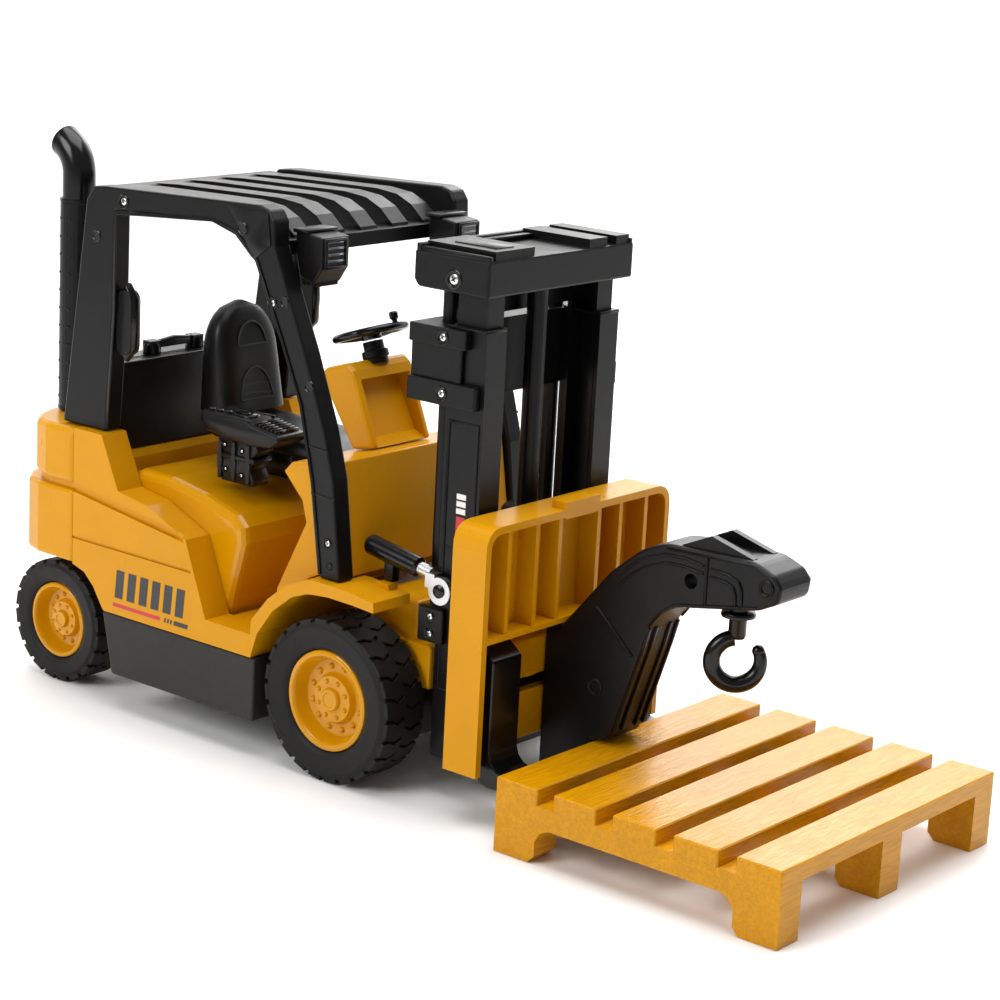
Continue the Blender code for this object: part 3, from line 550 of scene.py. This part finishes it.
def build_labels():
    for name, side in SIDES:
        face = span(side, BODY_SIDE_Y, BODY_SIDE_Y + 0.22)
        bars = [prism(slanted(-50 + 9.8 * k, 67.0, 6.4, 16.6, 1.6), *face) for k in range(6)]
        place(merged(bars), f"side_bars_{name}", MATERIALS["ink"], "truck")
        place(prism(slanted(-51.5, 61.6, 38.5, 2.2, 0.4), *face), f"side_line_{name}",
              MATERIALS["red"], "truck")
        blocks = [prism(slanted(-9.5 + 2.4 * k, 61.6, 1.3, 2.6, 0.6), *face) for k in range(3)]
        blocks.append(prism(slanted(-1.8, 61.6, 11.0, 2.6, 0.6), *face))
        place(merged(blocks), f"side_block_{name}", MATERIALS["ink"], "truck")
        face = span(side, RAIL_SIDE_Y, RAIL_SIDE_Y + 0.35)
        bars = [prism(slanted(174.4, 164.8 - 3.9 * k, 6.2, 2.9, 0.0), *face) for k in range(3)]
        place(merged(bars), f"rail_bars_{name}", MATERIALS["white"], "mast")
        place(prism(slanted(174.6, 145.5, 5.8, 10.0, 0.0), *face), f"rail_label_{name}",
              MATERIALS["red"], "mast")


# ---------------------------------------------------------------- cab

def rounded(half_x, half_y, power, count):
    """A closed superellipse about the origin."""
    points = []
    for k in range(count):
        a = 2 * math.pi * k / count
        c, s = math.cos(a), math.sin(a)
        points.append((half_x * math.copysign(abs(c) ** (2 / power), c),
                       half_y * math.copysign(abs(s) ** (2 / power), s)))
    return points


def build_seat():
    sections = []
    for k in range(17):
        t = k / 16
        height = SEAT_BACK_FOOT_Z + SEAT_BACK_HEIGHT * t
        crown = math.sqrt(max(0.0, 1 - max(0.0, (t - 0.55) / 0.45) ** 2.4))
        half_y = max(2.5, (26.0 - 2.5 * t) * crown)
        half_x = (15.5 - 7.5 * t) * max(0.18, crown ** 0.6)
        middle = -36.5 - 5.5 * t
        ring = []
        for dx, dy in rounded(half_x, half_y, 3.2, 40):
            hollow = 3.0 * (1 - (dy / half_y) ** 2) ** 2 * (1 - t) if dx > 0 else 0.0
            ring.append((middle + dx - hollow, dy, height))
        sections.append(ring)
    place(loft(sections, 60), "seat_back_shell", MATERIALS["seat"], "truck", ("seat_back",))

    def lean(z, lift):
        return -36.5 - 5.5 * (z - 169) / 62 + (15.5 - 7.5 * (z - 169) / 62) + lift
    arch = [(y, 176 + 18 * math.sqrt(max(0, 1 - (y / 12.5) ** 2))) for y in
            [12.5 * math.cos(math.radians(180 - 12 * k)) for k in range(16)]]
    dome = [(y, 207 + 13 * math.sqrt(max(0, 1 - (y / 11.0) ** 2))) for y in
            [11.0 * math.cos(math.radians(180 - 12 * k)) for k in range(16)]]
    seams = []
    for outline in (arch, dome):
        seams.append(swept([(lean(z, -2.2 * (1 - (z - 169) / 62)), y, z)
                            for y, z in outline + outline[:1]],
                           [0.55] * (len(outline) + 1), 8, ALONG_X))
    for z in (178.5, 184.0, 189.0):
        half = 12.5 * math.sqrt(max(0.0, 1 - ((z - 176) / 18) ** 2)) - 0.6
        seams.append(swept([(lean(z, -2.6 + 0.5 * (y / half) ** 2), y,
                             z + 0.8 * (1 - (y / half) ** 2))
                            for y in [half * s for s in (-1, -0.5, 0, 0.5, 1)]], [0.5] * 5, 8,
                            ALONG_X))
    place(merged(seams), "seat_back_seams", MATERIALS["dark"], "truck")

    sections = []
    for k in range(15):
        t = k / 14
        x = -36.0 + 89.0 * t
        nose = max(0.0, (t - 0.72) / 0.28)
        drop = 9.0 * nose ** 2.2
        tail = max(0.0, 1 - t / 0.06)
        half_y = (26.0 - 1.0 * tail) * (1 - 0.30 * nose ** 2.5)
        half_z = max(1.2, 8.0 * (1 - 0.55 * nose ** 1.6) - 0.8 * tail)
        ring = []
        for dy, dz in rounded(half_y, half_z, 3.4, 36):
            dish = 2.4 * (1 - min(1.0, abs(dy) / half_y) ** 2) * (1 - nose) if dz > 0 else 0.0
            ring.append((x, dy, 160.0 - drop * 0.45 + dz - dish))
        sections.append(ring)
    pad = loft(sections, 60)
    base = bevel(box(-30, 22, -19, 19, 139.4, 154), 1.2, 3)
    place(merged([pad, base]), "seat_cushion_shell", MATERIALS["seat"], "truck", ("seat_cushion",))


def build_console():
    """The armrest console: a dished tray with knobs, a dial and keys on a ribbed pedestal."""
    top, low, high = 177.0, -51.6, -28.6
    tray = [(-19.6, 172.5), (-17.0, 177.2), (17, 177.0), (22, 175.2), (41.5, 172.2), (42.4, 169.0),
            (36, 164.6), (20, 163.0), (4, 164.6), (-14, 166.2)]
    shell = [bevel(prism(tray, low, high), 1.6, 3)]
    post = [(-3.5, 139.3), (20, 139.3), (21.5, 143), (18.5, 149), (20.5, 156), (24, 160), (22, 167),
            (-6.5, 167), (-7, 161), (-4.5, 155), (-5.5, 148)]
    shell.append(bevel(prism(post, -48.6, -35.4), 0.8, 2))
    for x in (-4.6, 6.2, 17.4):
        rib = [(x - 1.1, 140.5), (x + 1.1, 140.5), (x + 1.9, 152), (x + 1.1, 163), (x - 1.1, 163),
               (x - 1.9, 152)]
        shell.append(bevel(prism(rib, -49.9, -48.2), 0.4, 1))
    shell.append(bevel(box(-6.5, 22.5, -49.8, -35.2, 152.6, 155.4), 0.6, 2))
    place(merged(shell), "console_shell", MATERIALS["seat"], "truck", ("control_console",))
    parts = []
    for k in range(3):
        parts.append(turned([(0, 1.9), (1.4, 1.7), (1.9, 0.9), (1.9, -0.8), (0, -0.8)],
                            (-14.0 + 5.6 * k, -46.5 + 1.0 * k, top), (0, 0, 1), 20, 60))
    pad = prism([(x + 7.0, y - 40.5) for x, y in rounded(8.0, 5.4, 2.6, 32)], top - 0.6, top + 1.0,
                "Z")
    parts.append(bevel(pad, 0.5, 2))
    parts.append(turned([(0, 0.9), (2.0, 0.8), (2.5, 0.2), (3.4, 0.9), (4.0, 0.7), (4.2, -0.5),
                         (0, -0.5)],
                        (7.0, -40.5, top + 0.8), (0, 0, 1), 32, 40))
    for row in range(2):
        for k in range(6):
            x0, drop = 21.5 + 3.0 * k, 0.46 * k
            y0 = -49.6 + 10.0 * row
            parts.append(bevel(box(x0, x0 + 2.0, y0, y0 + 8.8, top - 3.6 - drop, top - 0.2 - drop),
                               0.35, 2))
    parts.append(bevel(ribbon([(-17, -50.0), (19, -50.0)], 1.0, top - 0.6, top + 0.7, "Z"), 0.3, 2))
    parts.append(bevel(ribbon([(-17, -30.2), (19, -30.2)], 1.0, top - 0.6, top + 0.7, "Z"), 0.3, 2))
    place(merged(parts), "console_controls", MATERIALS["black_gloss"], "truck")
    for k, (x, z) in enumerate(((-1.5, 160.0), (12.0, 158.5), (-0.5, 146.2), (12.0, 144.5))):
        screw(f"console_screw_{k}", (x, -48.8, z), (0, -1, 0), 1.2, "truck")


def build_hand_wheel():
    normal = Vector((-math.sin(COLUMN_TILT), 0, math.cos(COLUMN_TILT)))
    forward = Vector((math.cos(COLUMN_TILT), 0, math.sin(COLUMN_TILT)))
    hub = HAND_WHEEL_CENTRE
    section = [(19.2 + 2.5 * math.cos(a * math.pi / 8), 2.3 * math.sin(a * math.pi / 8))
               for a in range(16)]
    parts = [turned(section, hub, normal, 72, 80)]
    parts.append(turned([(0, 2.4), (3.4, 2.3), (4.2, 1.7), (6.2, 1.2), (6.4, 0), (5.5, -4.0),
                         (0, -4.0)], hub,
                        normal, 36, 40))
    for k in range(3):
        way = frame_of(normal) @ Matrix.Rotation(math.radians(90 + 120 * k), 3, "Z") @ ALONG_X
        spoke = [hub + way * 4 - normal * 1.4, hub + way * 11 - normal * 1.2,
                 hub + way * 19 - normal * 0.2]
        parts.append(swept(spoke, [2.4, 2.0, 1.8], 14, normal))
    top = hub + forward * 19.4
    parts.append(turned([(0, 8.3), (1.8, 8.1), (2.5, 7.2), (2.5, 4.4), (1.5, 3.4), (1.5, 0),
                         (0, 0)], top, normal,
                        24, 50))
    place(merged(parts), "hand_wheel_rim", MATERIALS["black_gloss"], "hand_wheel",
          ("steering_wheel",))
    column = turned([(0, -4.6), (5.4, -4.8), (5.8, -5.4), (5.8, -9.6), (7.4, -10.2), (7.6, -13.8),
                     (6.6, -14.4), (6.6, -17.5), (0, -17.5)], hub, normal, 36, 40)
    place(column, "column_cover", MATERIALS["black"], "truck", ("steering_column",))


def build_guard_detail():
    inner = [(-65.0, 161.5), (-60.3, 228), (-60.2, 284.8), (-40, 286.6), (15.6, 290.9),
             (33.5, 286.2), (47.0, 275.2)]
    front = [(48.8, 274.6), (70.3, 232.6), (84.7, 201.9), (94.8, 162.2), (102.4, 113.0)]
    for name, side in SIDES:
        face = span(side, GUARD_SIDE_Y, GUARD_SIDE_Y + 0.9)
        thin_face = span(side, GUARD_SIDE_Y, GUARD_SIDE_Y + 0.6)
        lips = [bevel(ribbon(path, 2.0, *face), 0.35, 2) for path in (inner, front)]
        lips.append(bevel(ribbon([(89.5, 181.0), (105.0, 180.0)], 1.2, *thin_face), 0.3, 1))
        lips.append(bevel(ribbon([(94.0, 156.0), (111.0, 155.0)], 1.2, *thin_face), 0.3, 1))
        corner = [(27, 300.5), (57, 300.0), (59.5, 283), (47.3, 273.5), (40, 284)]
        gusset = prism(corner, *span(side, GUARD_SIDE_Y, GUARD_SIDE_Y + 0.8))
        lips.append(bevel(gusset, 0.5, 2))
        place(merged(lips), f"guard_lip_{name}", MATERIALS["black"], "truck")
        y = side * (GUARD_SIDE_Y + 0.15)
        screw(f"guard_screw_rear_{name}", (-54.2, y, 292.0), (0, side, 0), 2.6, "truck")
        screw(f"guard_screw_pillar_{name}", (61.5, y, 252.5), (0, side, 0), 2.2, "truck")
        for k, (x, z, r) in enumerate(((-75.8, 270.1, 3.0), (70.5, 254.5, 2.7),
                                       (90.0, 212.5, 2.9))):
            dimple(f"guard_hole_{k}_{name}", (x, y, z), (0, side, 0), r, "truck")
        dimple(f"guard_hole_roof_{name}", (38.5, side * (GUARD_SIDE_Y + 0.8), 289.5), (0, side, 0),
               3.2, "truck")
        screw(f"guard_foot_screw_{name}", (107.1, y, 130.7), (0, side, 0), 1.9, "truck")
        dimple(f"guard_foot_hole_{name}", (109.0, y, 118.6), (0, side, 0), 1.9, "truck")
        handle = swept([(-60, side * 73, 209), (-55.5, side * 73, 204), (-51.2, side * 73, 210),
                        (-50.6, side * 73, 223), (-51.2, side * 73, 237), (-55.5, side * 73, 243),
                        (-60, side * 73, 238)], [2.6, 3.0, 3.3, 3.4, 3.3, 3.0, 2.6], 16)
        place(handle, f"grab_handle_{name}", MATERIALS["black_gloss"], "truck")


def build_lights():
    for name, side in SIDES:
        glass = bevel(box(81.6, 82.9, *span(side, 48.0, 60.5), 273.5, 286.0), 0.4, 2)
        place(glass, f"light_glass_{name}", MATERIALS["lens"], "truck")
        bars = [bevel(box(82.5, 83.4, *span(side, 48.2, 60.3), 275.2 + 3.4 * k, 276.6 + 3.4 * k),
                      0.3, 2)
                for k in range(4)]
        place(merged(bars), f"light_bars_{name}", MATERIALS["lens_bar"], "truck")
        path = [(side * 46.9, 272.5), (side * 61.7, 272.5), (side * 61.7, 287.0),
                (side * 46.9, 287.0), (side * 46.9, 272.5)]
        frame_strip = bevel(ribbon(path, 1.9, 81.6, 83.6, "X"), 0.4, 2)
        fins = [bevel(box(66 + 4.2 * k, 68.4 + 4.2 * k, *span(side, 45, 62), 261.6, 266.5), 0.4, 1)
                for k in range(3)]
        cap = bevel(box(61.2, 72.0, *span(side, 41.5, 65.0), 289.3, 291.6), 0.5, 2)
        place(merged([frame_strip, cap] + fins), f"light_frame_{name}", MATERIALS["black"], "truck")


def build_bulkhead_detail():
    parts = []
    foot = [(0, 8), (3.4, 7.4), (5.0, 5.0), (5.2, 0), (0, 0)]
    for y in (-29, 5):
        parts.append(turned(foot, (-82.5, y, 196.3), UP, 28, 60))
    parts.append(swept([(-82.5, -29, 201.5), (-82.5, -12, 203.2), (-82.5, 5, 201.5)],
                       [2.0, 2.2, 2.0], 16, ALONG_X))
    parts.append(ribbon([(-79.3, 196.9), (-78.7, 196.9)], 0.5, -66, 66))
    place(merged(parts), "bulkhead_handle", MATERIALS["black_gloss"], "truck")


def build_exhaust_detail():
    path = [(EXHAUST_X, EXHAUST_Y, z) for z in (159.1, 230.0, 292.0)]
    for k in range(1, 13):
        turn = math.radians(5.6 * k)
        path.append((EXHAUST_X - EXHAUST_BEND_RADIUS * (1 - math.cos(turn)), EXHAUST_Y,
                     EXHAUST_BEND_Z + EXHAUST_BEND_RADIUS * math.sin(turn)))
    heading = Vector((-math.sin(math.radians(67)), 0, math.cos(math.radians(67))))
    tip = Vector(path[-1])
    pipe = swept(path, [EXHAUST_RADIUS] * len(path), 40)
    lip = turned([(7.4, -1.0), (9.4, -1.0), (9.5, 0.2), (9.1, 1.4), (8.4, 1.9), (7.7, 1.5),
                  (7.4, 0.6)],
                 tip, heading, 40, 80)
    place(merged([pipe, lip]), "exhaust_bend", MATERIALS["black_gloss"], "truck", ("exhaust_pipe",))
    # The mouth is painted shade: a flat dark disc over the pipe's end that stands in for the shaded
    # inside of the pipe.
    mouth = turned([(0, 0.1), (7.5, 0.1), (7.5, -0.6), (0, -0.6)], tip, heading, 40)
    place(mouth, "exhaust_mouth", MATERIALS["dark"], "truck")
    stud = [(0, 0.75), (0.7, 0.55), (1.0, 0.1), (1.0, -0.3), (0, -0.3)]
    domes = []
    for angle in (-118, -72, -26, 20, 66, 112, 158, 204):
        a = math.radians(angle)
        out = Vector((math.cos(a), math.sin(a), 0))
        for k in range(11):
            centre = Vector((EXHAUST_X, EXHAUST_Y, 168.0 + 10.4 * k)) + out * 10.45
            domes.append(turned(stud, centre, out, 10, 60))
    place(merged(domes), "muffler_studs", MATERIALS["black_gloss"], "truck")
    band = [(9.4, 0), (10.7, 0.1), (10.9, 1.0), (10.7, 1.9), (9.4, 2.0)]
    collars = [turned(band, (EXHAUST_X, EXHAUST_Y, z), UP, 48) for z in (281.5, 160.2)]
    place(merged(collars), "muffler_collars", MATERIALS["black"], "truck")


# ---------------------------------------------------------------- mast and load parts

def build_mast_detail():
    for name, side in SIDES:
        outer_face = span(side, RAIL_SIDE_Y, RAIL_SIDE_Y + 0.6)
        panel = [(167.0, 205), (167.0, 60), (186.5, 60), (186.5, 205), (167.0, 205)]
        parts = [bevel(ribbon(panel, 1.6, *outer_face), 0.3, 2)]
        seam = span(side, RAIL_SIDE_Y, RAIL_SIDE_Y + 0.4)
        for z in (70, 120, 138):
            parts.append(bevel(ribbon([(168, z), (185.5, z)], 0.9, *seam), 0.25, 1))
        collar = [(163.7, 253.8), (189.5, 253.8)]
        parts.append(bevel(ribbon(collar, 1.6, *span(side, 39.5, 55.6)), 0.4, 2))
        place(merged(parts), f"rail_panel_{name}", MATERIALS["black"], "mast")
        y = side * 60.05
        screw(f"crosshead_screw_top_{name}", (164.0, y, 248.5), (0, side, 0), 2.5, "mast")
        screw(f"crosshead_screw_low_{name}", (164.5, y, 219.3), (0, side, 0), 2.5, "mast")
        for k, z in enumerate((99.0, 89.6)):
            screw(f"bracket_screw_{k}_{name}", (162.3, side * 58.25, z), (0, side, 0), 2.1, "mast")
        screw(f"top_plate_screw_{name}", (169.8, side * 60.25, 279.3), (0, side, 0), 3.4,
              "mast_stage")
        cap = turned([(0, 1.3), (2.6, 1.1), (3.6, 0.4), (3.6, -0.4), (0, -0.4)],
                     (171.3, side * 62.7, 115.5), (0, side, 0), 28, 50)
        place(cap, f"tilt_pin_cap_{name}", MATERIALS["black_gloss"], "mast")
    rim_parts = []
    for low, high in ((-59.6, -56.6), (56.9, 59.6)):
        rim_parts.append(bevel(box(146, 192.2, low, high, 290.5, 293.4), 0.4, 2))
    rim_parts.append(bevel(box(143.6, 147.6, -59.6, 59.6, 290.5, 294.6), 0.4, 2))
    rim_parts.append(bevel(box(158, 186, -47, -33, 295.2, 296.2), 0.4, 2))
    rim_parts.append(bevel(box(150, 154, -22, 22, 290.6, 294.0), 0.4, 2))
    place(merged(rim_parts), "top_plate_ridges", MATERIALS["black"], "mast_stage")
    bars = [bevel(box(140.7, 141.4, -50 + 20 * k, -40 + 20 * k, 228, 241), 0.3, 1)
            for k in range(6)]
    place(merged(bars), "crosshead_ribs", MATERIALS["black"], "mast")


def build_carriage_detail():
    place(bevel(box(198.1, 199.0, -73.4, 73.4, 61.7, 69.3), 0.3, 1), "carriage_slot",
          MATERIALS["black"], "load_carriage")
    parts = []
    for y in (-66, -24, 24, 66):
        parts.append(bevel(box(204.2, 205.0, y - 4.0, y + 4.0, 69.5, 72.2), 0.3, 1))
        parts.append(bevel(box(204.2, 205.0, y - 4.0, y + 4.0, 88.0, 90.4), 0.3, 1))
    place(merged(parts), "carriage_clips", MATERIALS["yellow"], "load_carriage")


def build_jib_detail():
    upper = [(250, 131.5), (258, 139.8), (266, 145.6), (279, 150.0), (291, 150.6), (303.0, 149.0)]
    lower = [(250, 126.5), (260, 136.2), (268, 141.5), (280, 145.8), (291, 146.3), (303.0, 145.0)]
    nose = [(307.0, 148.4), (318, 147.8), (324.5, 145.2), (326.6, 141.0), (327.0, 131.6)]
    inner = [(307.0, 144.4), (317, 143.6), (321.5, 141.6), (323.0, 138.0), (323.3, 130.8)]
    belly = [(272.0, 110.5), (279.5, 120.0), (287.5, 125.2), (336, 134.4), (346.6, 140.2),
             (347.6, 147.0), (343.8, 151.0), (332.4, 155.6), (280, 153.6)]
    divider = [(305.0, 153.5), (305.0, 127.8)]
    knee = [(238, 113.5), (262.5, 92.0)]
    for name, side in SIDES:
        face = span(side, JIB_SIDE_Y, JIB_SIDE_Y + 1.3)
        lines = [bevel(ribbon(path, 1.4, *face), 0.4, 2)
                 for path in (upper, lower, nose, inner, divider, knee)]
        lines.append(bevel(ribbon(belly, 1.4, *face), 0.35, 1))
        ring = turned([(3.0, -0.3), (4.4, -0.3), (4.4, 0.5), (3.8, 0.8), (3.0, 0.5)],
                      (341.0, side * 14.0, 145.6), (0, side, 0), 28)
        foot_ring = turned([(3.2, -0.3), (4.6, -0.3), (4.6, 0.5), (4.0, 0.8), (3.2, 0.5)],
                           (240.0, side * 14.0, 70.0), (0, side, 0), 28)
        place(merged(lines + [ring, foot_ring]), f"jib_lines_{name}", MATERIALS["black"],
              "load_carriage")
    web = prism([(283, 154.0), (304.0, 160.5), (322, 156.8), (322, 153.0)], -2.0, 2.0)
    strips = [bevel(web, 0.5, 2)]
    front = [(252.6, 48.0), (267.3, 95.4), (271.0, 108.6)]
    for y in (-12.6, -6.0, 6.0, 12.6):
        strips.append(bevel(ribbon([(x + 0.3, z) for x, z in front], 1.6, y - 1.1, y + 1.1), 0.4,
                            2))
    place(merged(strips), "jib_strips", MATERIALS["black"], "load_carriage")


def build_hook():
    shank = turned([(0, 141.4), (4.3, 141.4), (4.4, 126.2), (8.6, 125.6), (9.0, 124.6),
                    (8.8, 123.4), (5.2, 122.8), (4.6, 121.5), (4.6, 113.5), (3.9, 111.8),
                    (0, 111.8)], (HOOK_X, 0, 0), UP, 40, 45)
    centre, across = Vector((317.0, 0, 99.7)), Vector((0.778, 0.628, 0))
    side = UP.cross(across)
    path, radii, steps = [], [], 56
    for i in range(steps + 1):
        t = i / steps
        angle = math.radians(90 + 8 + 290 * t)
        path.append(centre + (across * math.cos(angle) + UP * math.sin(angle)) * HOOK_RING_RADIUS)
        radii.append(4.2 - 1.1 * max(0.0, (t - 0.72) / 0.28) + 0.25 * math.sin(math.pi * t))
    ring = swept(path, radii, 20, side)
    ball = turned([(0, 3.4), (1.7, 2.9), (2.9, 1.7), (3.4, 0), (2.9, -1.7), (1.7, -2.9), (0, -3.4)],
                  path[-1], (0, 0, 1), 20, 80)
    place(merged([shank, ring, ball]), "hook_forging", MATERIALS["black_gloss"], "hook",
          ("crane_hook",))


# ---------------------------------------------------------------- stage, light and camera

def build_stage():
    bpy.ops.mesh.primitive_plane_add(size=8.0, location=(0, 0, -0.0003))
    floor = bpy.context.object
    floor.name = "floor"
    paper = moulded("floor_paper", PAPER_WHITE, 0.75, 0.01)
    floor.data.materials.append(paper)
    bpy.ops.mesh.primitive_plane_add(size=12.0, location=(-1.65, 2.05, 2.0))
    wall = bpy.context.object
    wall.name = "backdrop"
    wall.rotation_euler = (math.radians(90), 0, math.radians(38.92))
    paper = moulded("backdrop_paper", PAPER_WHITE, 0.75, 0.01)
    glow = paper.node_tree.nodes["Principled BSDF"]
    glow.inputs["Emission Color"].default_value = WARM_WHITE
    glow.inputs["Emission Strength"].default_value = 1.0
    wall.data.materials.append(paper)
    bpy.context.scene.view_settings.view_transform = "Standard"
    world = bpy.data.worlds.new("studio")
    bpy.context.scene.world = world
    world.use_nodes = True
    world.node_tree.nodes["Background"].inputs["Color"].default_value = WARM_WHITE
    world.node_tree.nodes["Background"].inputs["Strength"].default_value = 0.28
    lights = (
        ("key", (-0.45, -1.6, 1.15), 0.9, 19.0),
        ("top", (0.1, 0.1, 1.9), 1.6, 38.0),
        ("back", (-0.6, 1.6, 1.2), 1.0, 14.0),
    )
    for name, spot, size, power in lights:
        data = bpy.data.lights.new(name, "AREA")
        data.shape = "SQUARE"
        data.size = size
        data.energy = power
        lamp = bpy.data.objects.new(name, data)
        lamp.location = spot
        aim = Vector((0, 0, 0.12)) - Vector(spot)
        lamp.rotation_euler = aim.to_track_quat("-Z", "Y").to_euler()
        bpy.context.collection.objects.link(lamp)


def build_camera():
    azimuth, elevation, roll = math.radians(38.92), math.radians(14.064), math.radians(2.970)
    distance, right_by, up_by = 1450.1, 23.98, 5.31
    target = Vector((125.2, 0.0, 142.8))
    back = Vector((math.sin(azimuth) * math.cos(elevation),
                   -math.cos(azimuth) * math.cos(elevation), math.sin(elevation)))
    right = Vector((math.cos(azimuth), math.sin(azimuth), 0))
    up = back.cross(right)
    right_rolled = right * math.cos(roll) + up * math.sin(roll)
    up_rolled = up * math.cos(roll) - right * math.sin(roll)
    eye = target + back * distance + right_rolled * right_by + up_rolled * up_by
    data = bpy.data.cameras.new("camera")
    data.sensor_width = 36.0
    data.lens = 95.70
    data.shift_x = 0.0042
    data.shift_y = -0.0053
    camera = bpy.data.objects.new("camera", data)
    turn = Matrix((right_rolled, up_rolled, back)).transposed().to_4x4()
    camera.matrix_world = Matrix.Translation((eye - ORIGIN) * MM) @ turn
    bpy.context.collection.objects.link(camera)
    bpy.context.scene.camera = camera


dress_cad_nodes()
build_wheels()
build_labels()
build_seat()
build_console()
build_hand_wheel()
build_guard_detail()
build_lights()
build_bulkhead_detail()
build_exhaust_detail()
build_mast_detail()
build_carriage_detail()
build_jib_detail()
build_hook()
build_stage()
build_camera()
